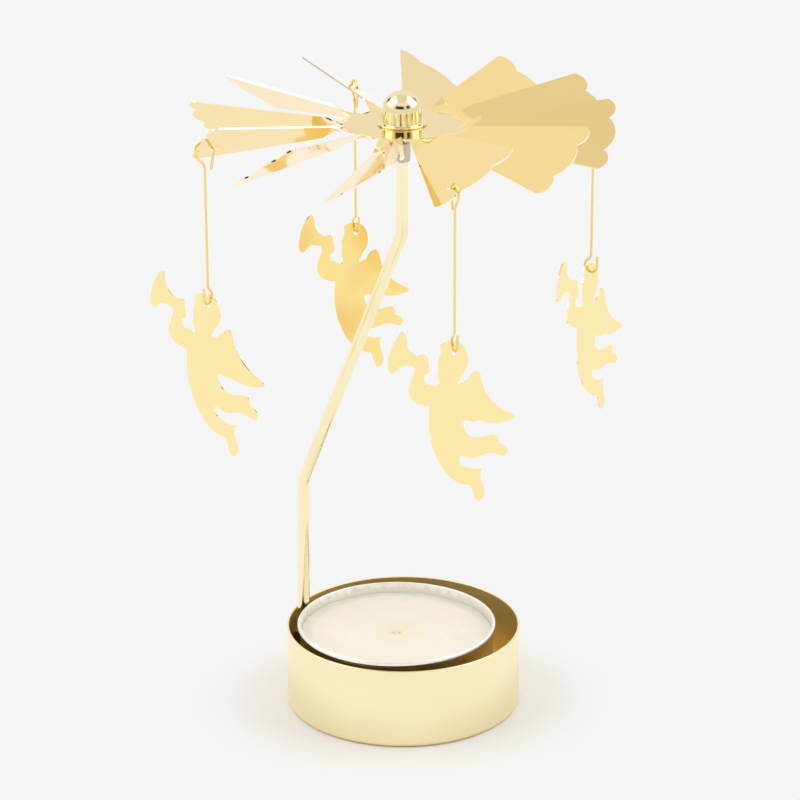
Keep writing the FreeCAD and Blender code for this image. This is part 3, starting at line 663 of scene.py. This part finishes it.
# how far the creases draw the grey band's edge down from a line just above the rim, and how softly it
# ends
GREY_BAND_DROP = 2.4 * MM
GREY_BAND_EDGE = 0.1 * MM
GREY_BAND_FADE = 0.5 * MM
# the outside's painted shade and gold reflection run from where the tapered wall comes this near to the
# bead's radius, to this far below the rim
OUTSIDE_FROM = 0.46 * MM
OUTSIDE_FULL = 0.42 * MM
RIM_DEPTH = 0.6 * MM
low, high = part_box("tealight_cup")
case_middle = ((low.x + high.x) / 2, (low.y + high.y) / 2, low.z)
case_height = high.z - low.z
bead_radius = (high.x - low.x) / 2
case_radius = bead_radius - BEAD

# aluminium foil, pressed: nearly white, and outside under its rim a painted shade, warmer as a painted
# reflection of the gold it faces
case_foil, tree = new_material("aluminium_foil_pressed")
place = add_node(tree, "ShaderNodeTexCoord").outputs["Object"]
stretched = add_node(tree, "ShaderNodeMapping", inputs={"Vector": place, "Scale": (1, 1, 0.15)})
creases = add_node(
    tree,
    "ShaderNodeTexNoise",
    inputs={"Vector": stretched.outputs["Vector"], "Scale": 1 / CREASE_WIDTH, "Detail": 3.0},
).outputs["Fac"]
bump = add_node(
    tree, "ShaderNodeBump", inputs={"Height": creases, "Strength": 0.3, "Distance": CREASE_DEPTH}
)
# painted shade: the foil is a touch darker where the creases dip
white = add_node(
    tree, "ShaderNodeValToRGB", inputs={"Fac": creases}, stops=((0.3, "#F6F4EC"), (0.7, "#FDFCF7"))
)
height = add_node(tree, "ShaderNodeSeparateXYZ", inputs={"Vector": place}).outputs["Z"]
wavy_height = add_node(
    tree, "ShaderNodeMath", {"operation": "MULTIPLY_ADD"}, {0: creases, 1: GREY_BAND_DROP, 2: height}
)
above_grey_band = add_node(
    tree,
    "ShaderNodeMapRange",
    inputs={
        "Value": wavy_height.outputs[0],
        "From Min": high.z + GREY_BAND_EDGE,
        "From Max": high.z + GREY_BAND_EDGE + GREY_BAND_FADE,
    },
)
inner_shade = add_node(
    tree,
    "ShaderNodeMix",
    {"data_type": "RGBA"},
    {"Factor": above_grey_band.outputs["Result"], "A": colour("#EDEAE1"), "B": white.outputs["Color"]},
)
centred = add_node(
    tree,
    "ShaderNodeMapping",
    inputs={"Vector": place, "Location": (-case_middle[0], -case_middle[1], 0), "Scale": (1, 1, 0)},
)
from_axis = add_node(
    tree, "ShaderNodeVectorMath", {"operation": "LENGTH"}, {0: centred.outputs["Vector"]}
)
outer_wall = add_node(
    tree,
    "ShaderNodeMapRange",
    inputs={
        "Value": from_axis.outputs["Value"],
        "From Min": bead_radius - OUTSIDE_FROM,
        "From Max": bead_radius - OUTSIDE_FULL,
    },
)
below_rim = add_node(
    tree, "ShaderNodeMath", {"operation": "LESS_THAN"}, {0: height, 1: high.z - RIM_DEPTH}
)
outside = add_node(
    tree,
    "ShaderNodeMath",
    {"operation": "MULTIPLY"},
    {0: outer_wall.outputs["Result"], 1: below_rim.outputs[0]},
).outputs[0]
# painted shade and a painted reflection of the gold on the outside under the rim
foil_shade = add_node(
    tree,
    "ShaderNodeMix",
    {"data_type": "RGBA"},
    {"Factor": outside, "A": inner_shade.outputs["Result"], "B": colour("#DED4C0")},
)
foil_roughness = add_node(tree, "ShaderNodeMix", inputs={"Factor": outside, "A": 0.42, "B": 0.2})
shader = add_node(
    tree,
    "ShaderNodeBsdfPrincipled",
    inputs={
        "Base Color": foil_shade.outputs["Result"],
        "Roughness": foil_roughness.outputs["Result"],
        "Metallic": 1.0,
        "Normal": bump.outputs["Normal"],
    },
)
add_node(tree, "ShaderNodeOutputMaterial", inputs={"Surface": shader.outputs[0]})

spun_piece(
    "tealight_cup",
    "tealight",
    case_foil,
    (
        (0, 0, 0),
        (case_radius - TAPER, 0, CASE_BASE_ROUND),
        (case_radius, case_height - BEAD_NECK, CASE_NECK_ROUND),
        (bead_radius, case_height - BEAD_FOOT, BEAD_FOOT_ROUND),
        (bead_radius, case_height, BEAD_TOP_ROUND),
        (case_radius - FOIL, case_height, BEAD_INNER_ROUND),
        (case_radius - FOIL - TAPER, FOIL, CASE_INNER_ROUND),
        (0, FOIL, 0),
    ),
    case_middle,
)


# The wax
# White paraffin wax, poured into the case. It is drawn up at the wall in an uneven line and sinks a
# little round the wick, where it is slightly yellower.
WAX_GAP = 0.04 * MM
WAX_CLIMB = 0.35 * MM
WAX_BASE_ROUND = 0.6 * MM
CLIMB_WIDTH = 0.7 * MM
CLIMB_FOOT = 0.1 * MM
CLIMB_ROUND = 0.3 * MM
LEVEL_INSET = 3 * MM
LEVEL_ROUND = 1.0 * MM
HOLLOW_RADIUS = 4 * MM
HOLLOW_DEPTH = 0.12 * MM
HOLLOW_ROUND = 0.2 * MM
WICK_SOCKET = 1.5 * MM
WAVY_WIDTH = 1.6 * MM
WAVY_DEPTH = 0.5 * MM
WAVE_SIZE = 0.2 * MM
# each wave's share of the size, how many there are round the wax, and where they start
WAVES = ((0.3, 11, 0), (0.4, 29, 1.1), (0.3, 37, 0))
YELLOW_FROM = 0.5 * MM
YELLOW_TO = 7 * MM
YELLOW_SHARE = 0.5
BLOOM_SIZE = 3 * MM
BLOOM_DEPTH = 0.1 * MM
wax_low, wax_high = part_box("tealight_wax")
wick_low, wick_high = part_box("tealight_wick")
wax_radius = (wax_high.x - wax_low.x) / 2
wax_level = wax_high.z - wax_low.z - WAX_CLIMB
wick_radius = (wick_high.x - wick_low.x) / 2
wick_top = ((wick_low.x + wick_high.x) / 2, (wick_low.y + wick_high.y) / 2, wick_high.z)

# paraffin wax, poured: creamy white and softly see-through, with a faint frosted bloom
paraffin, tree = new_material("paraffin_wax_poured")
place = add_node(tree, "ShaderNodeTexCoord").outputs["Object"]
from_wick = add_node(tree, "ShaderNodeVectorMath", {"operation": "DISTANCE"}, {0: place, 1: wick_top})
yellowing = add_node(
    tree,
    "ShaderNodeMapRange",
    {"interpolation_type": "SMOOTHSTEP"},
    {
        "Value": from_wick.outputs["Value"],
        "From Min": YELLOW_FROM,
        "From Max": YELLOW_TO,
        "To Min": YELLOW_SHARE,
        "To Max": 0.0,
    },
)
bloom = add_node(
    tree, "ShaderNodeTexNoise", inputs={"Vector": place, "Scale": 1 / BLOOM_SIZE, "Detail": 4.0}
).outputs["Fac"]
white = add_node(
    tree, "ShaderNodeValToRGB", inputs={"Fac": bloom}, stops=((0.3, "#EDE7D8"), (0.7, "#F0EBDE"))
)
cream = add_node(
    tree,
    "ShaderNodeMix",
    {"data_type": "RGBA"},
    {"Factor": yellowing.outputs["Result"], "A": white.outputs["Color"], "B": colour("#F2E2B4")},
)
bump = add_node(
    tree, "ShaderNodeBump", inputs={"Height": bloom, "Strength": 0.2, "Distance": BLOOM_DEPTH}
)
shader = add_node(
    tree,
    "ShaderNodeBsdfPrincipled",
    inputs={
        "Base Color": cream.outputs["Result"],
        "Roughness": 0.42,
        "IOR": 1.44,
        "Subsurface Weight": 0.35,
        "Subsurface Scale": 2 * MM,
        "Normal": bump.outputs["Normal"],
    },
)
add_node(tree, "ShaderNodeOutputMaterial", inputs={"Surface": shader.outputs[0]})

wax = spun_piece(
    "tealight_wax",
    "tealight",
    paraffin,
    (
        (0, 0, 0),
        (wax_radius - TAPER - FOIL, 0, WAX_BASE_ROUND),
        (wax_radius - WAX_GAP, wax_level + WAX_CLIMB, 0),
        (wax_radius - CLIMB_WIDTH, wax_level + CLIMB_FOOT, CLIMB_ROUND),
        (wax_radius - LEVEL_INSET, wax_level, LEVEL_ROUND),
        (HOLLOW_RADIUS, wax_level, LEVEL_ROUND),
        (wick_radius, wax_level - HOLLOW_DEPTH, HOLLOW_ROUND),
        (wick_radius, wax_level - WICK_SOCKET, 0),
        (0, wax_level - WICK_SOCKET, 0),
    ),
    (case_middle[0], case_middle[1], wax_low.z),
)
for vertex in wax.data.vertices:
    spoke = Vector((vertex.co.x - case_middle[0], vertex.co.y - case_middle[1]))
    at_wall = spoke.length > wax_radius - WAVY_WIDTH
    at_top = vertex.co.z > wax_low.z + wax_level - WAVY_DEPTH
    if at_wall and at_top:
        turned = math.atan2(spoke.y, spoke.x)
        wave = sum(share * math.sin(count * turned + start) for share, count, start in WAVES)
        vertex.co.z -= WAVE_SIZE * (1 + wave)


# The wick and its foot
# A braided cotton wick, trimmed almost flush with the wax. It is crimped in the collar of a small foot
# of tinned sheet, which stands on the case's floor under the wax.
BRAID_DEPTH = 0.1 * MM
# the way up from one slanting band of yarn to the next, and how many radians Blender's diagonal wave
# texture turns for each unit of that way
BRAID_STEP = 1.508 * MM
WAVE_TURN = 10
# cotton, braided and waxed: creamy yarn in slanting bands, a touch darker in the grooves as painted
# shade
wick_cotton, tree = new_material("cotton_wick_braided")
place = add_node(tree, "ShaderNodeTexCoord").outputs["Object"]
braid = add_node(
    tree,
    "ShaderNodeTexWave",
    {"wave_type": "BANDS", "bands_direction": "DIAGONAL"},
    {"Vector": place, "Scale": math.tau / (WAVE_TURN * BRAID_STEP), "Distortion": 1.5},
).outputs["Fac"]
yarn = add_node(
    tree, "ShaderNodeValToRGB", inputs={"Fac": braid}, stops=((0.2, "#F0E7CC"), (0.8, "#F6F0DD"))
)
bump = add_node(
    tree, "ShaderNodeBump", inputs={"Height": braid, "Strength": 0.5, "Distance": BRAID_DEPTH}
)
shader = add_node(
    tree,
    "ShaderNodeBsdfPrincipled",
    inputs={
        "Base Color": yarn.outputs["Color"],
        "Roughness": 0.8,
        "Normal": bump.outputs["Normal"],
    },
)
add_node(tree, "ShaderNodeOutputMaterial", inputs={"Surface": shader.outputs[0]})
dress("tealight_wick", wick_cotton)
# tinned sheet, stamped: dull grey
foot_tin = metal_finish(
    "tinned_sheet_stamped",
    "#BDBDBB",
    roughness=0.3,
    tarnish_and_reflection=0.3,
    warm="#9C9A94",
    marks=(0.8, 0.02, (1, 1, 1)),
)
dress("wick_sustainer", foot_tin)
